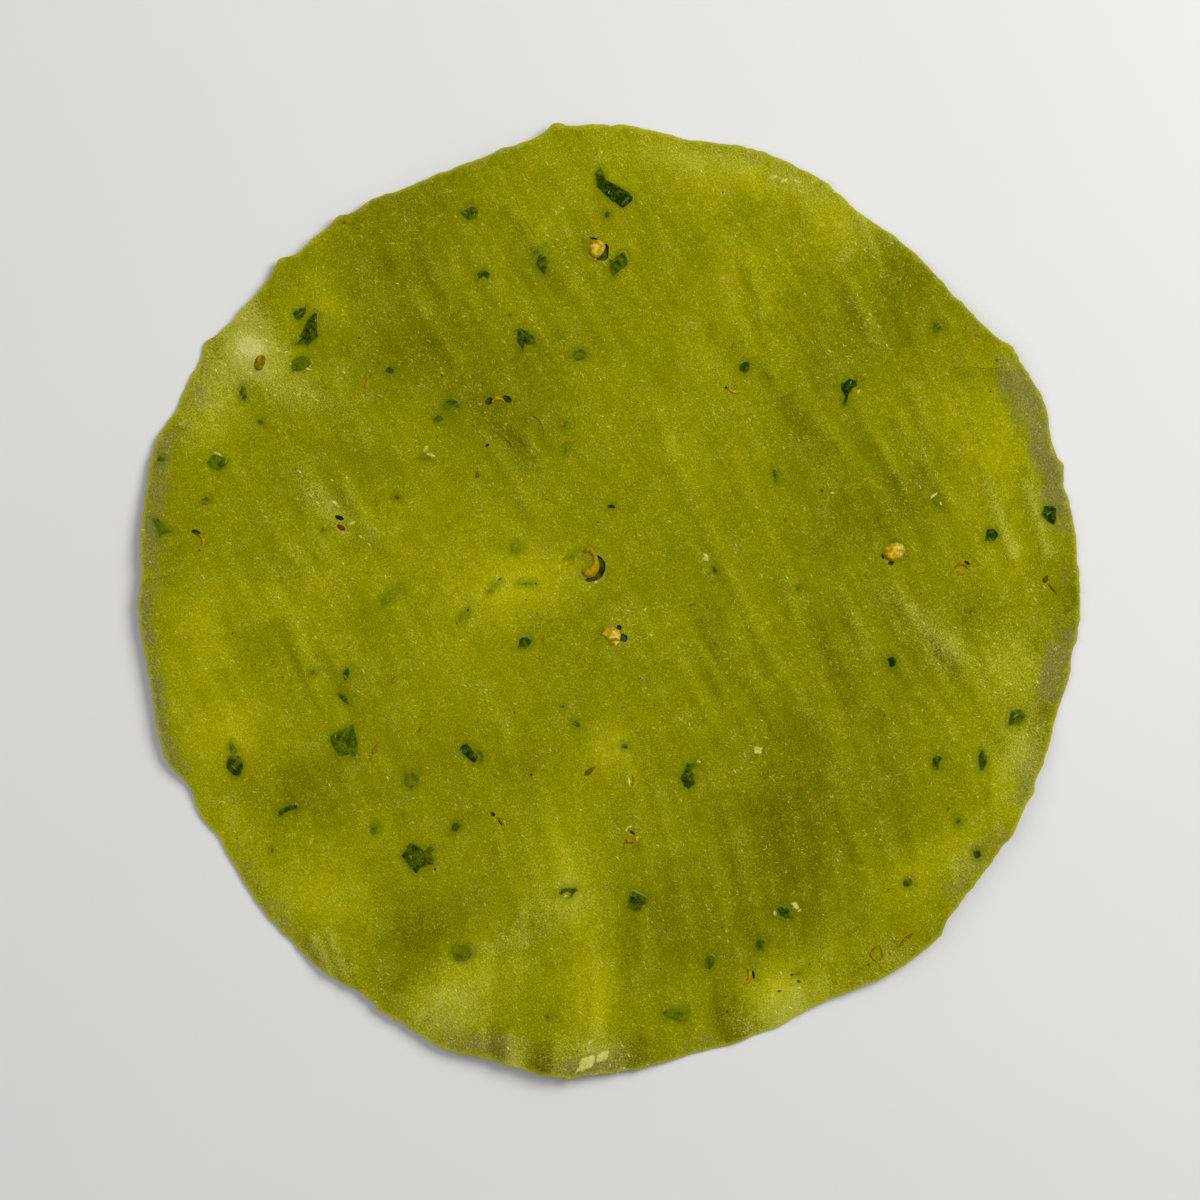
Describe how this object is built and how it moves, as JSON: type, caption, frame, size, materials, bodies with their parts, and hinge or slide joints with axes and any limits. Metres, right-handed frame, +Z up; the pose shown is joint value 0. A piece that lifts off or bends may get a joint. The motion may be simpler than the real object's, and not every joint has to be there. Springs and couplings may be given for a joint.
{
  "type": "papadum",
  "caption": "Raw green-chilli papadum: a thin, wavy, hand-rolled disc of dried yellow-green dough with chopped chilli and seeds rolled in, ready to be fried or roasted.",
  "frame": {"origin": "on the table, under the middle of the disc's bounding box", "axes": "+Z up through the sheet, away from the table; +Y towards the top of the picture, +X to its right"},
  "size_m": [0.165, 0.167, 0.0031],
  "materials": {
    "dried_dough": "satin",
    "green_chilli": "satin",
    "chilli_seed": "satin",
    "cumin": "matte",
    "pepper_speck": "matte"
  },
  "bodies": {
    "root": {"papadum": "dried_dough"}
  },
  "joints": []
}
